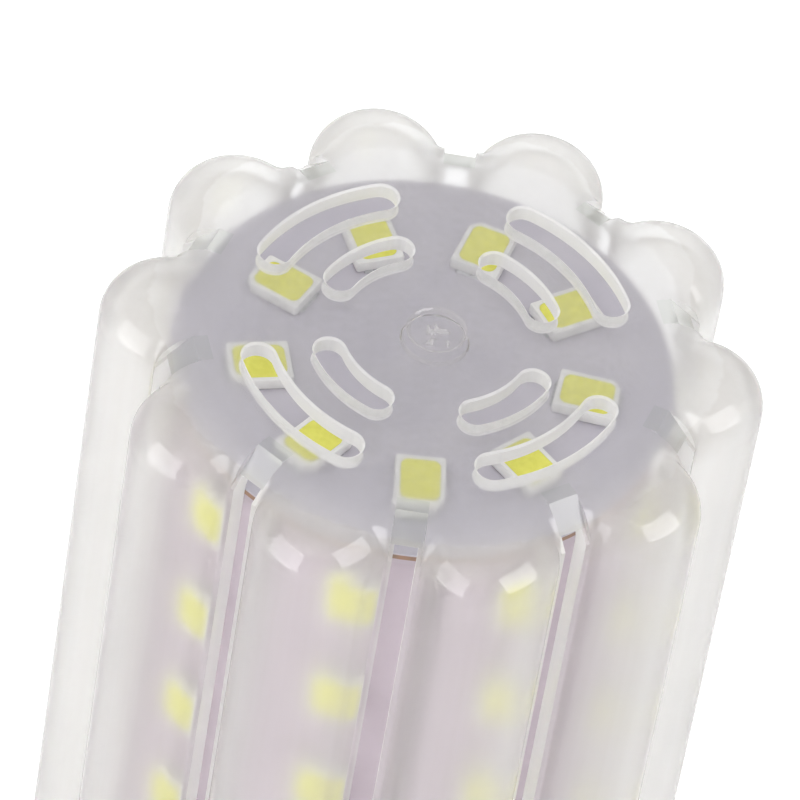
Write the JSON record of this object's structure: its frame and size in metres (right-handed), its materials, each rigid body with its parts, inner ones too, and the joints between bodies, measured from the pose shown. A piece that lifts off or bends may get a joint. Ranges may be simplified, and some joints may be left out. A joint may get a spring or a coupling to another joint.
{
  "type": "corn LED bulb",
  "caption": "Corn LED bulb with a clear lobed slotted cover over a column of yellow LED chips, a white housing and a large screw cap.",
  "frame": {"origin": "centre of the flat tip of the centre contact, on the bulb's axis", "axes": "+Z along the bulb's axis from the contact towards the cover's flat top plate; +X through the middle of one lobe of the cover"},
  "size_m": [0.0388, 0.0388, 0.118],
  "materials": {
    "clear_cover": "clear moulded plastic with a faint satin skin",
    "board_mask": "white solder mask",
    "led_package": "white moulded package",
    "led_phosphor": "yellow phosphor resin",
    "solder": "bright solder",
    "white_housing": "white moulded plastic, half gloss",
    "plated_shell": "nickel plated sheet",
    "black_insulator": "black moulded insulator",
    "plated_contact": "bright brass contact",
    "green_board": "green glass fibre board",
    "capacitor_sleeve": "dark shrunk sleeve",
    "film_box": "dipped red-brown resin",
    "choke_ferrite": "dark ferrite",
    "chip_black": "black moulded chip",
    "resistor_body": "lacquered resistor",
    "wire_red": "red insulated wire",
    "wire_black": "black insulated wire"
  },
  "bodies": {
    "root": {"lens_cover": "clear_cover", "led_strip_1": "board_mask", "strip_packages_1": "led_package", "strip_phosphors_1": "led_phosphor", "led_strip_2": "board_mask", "strip_packages_2": "led_package", "strip_phosphors_2": "led_phosphor", "led_strip_3": "board_mask", "strip_packages_3": "led_package", "strip_phosphors_3": "led_phosphor", "led_strip_4": "board_mask", "strip_packages_4": "led_package", "strip_phosphors_4": "led_phosphor", "led_strip_5": "board_mask", "strip_packages_5": "led_package", "strip_phosphors_5": "led_phosphor", "led_strip_6": "board_mask", "strip_packages_6": "led_package", "strip_phosphors_6": "led_phosphor", "led_strip_7": "board_mask", "strip_packages_7": "led_package", "strip_phosphors_7": "led_phosphor", "led_strip_8": "board_mask", "strip_packages_8": "led_package", "strip_phosphors_8": "led_phosphor", "led_strip_9": "board_mask", "strip_packages_9": "led_package", "strip_phosphors_9": "led_phosphor", "top_board": "board_mask", "top_packages": "led_package", "top_phosphors": "led_phosphor", "lower_board": "board_mask", "upper_solder_joints": "solder", "lower_solder_joints": "solder", "base_housing": "white_housing", "screw_shell": "plated_shell", "shell_insulator": "black_insulator", "centre_contact": "plated_contact", "driver_board": "green_board", "electrolytic_capacitor": "capacitor_sleeve", "film_capacitor": "film_box", "choke": "choke_ferrite", "bridge_rectifier": "chip_black", "driver_chip": "chip_black", "fusible_resistor": "resistor_body", "live_wire": "wire_red", "neutral_wire": "wire_black", "led_supply_wire": "wire_red", "led_return_wire": "wire_black"}
  },
  "joints": []
}
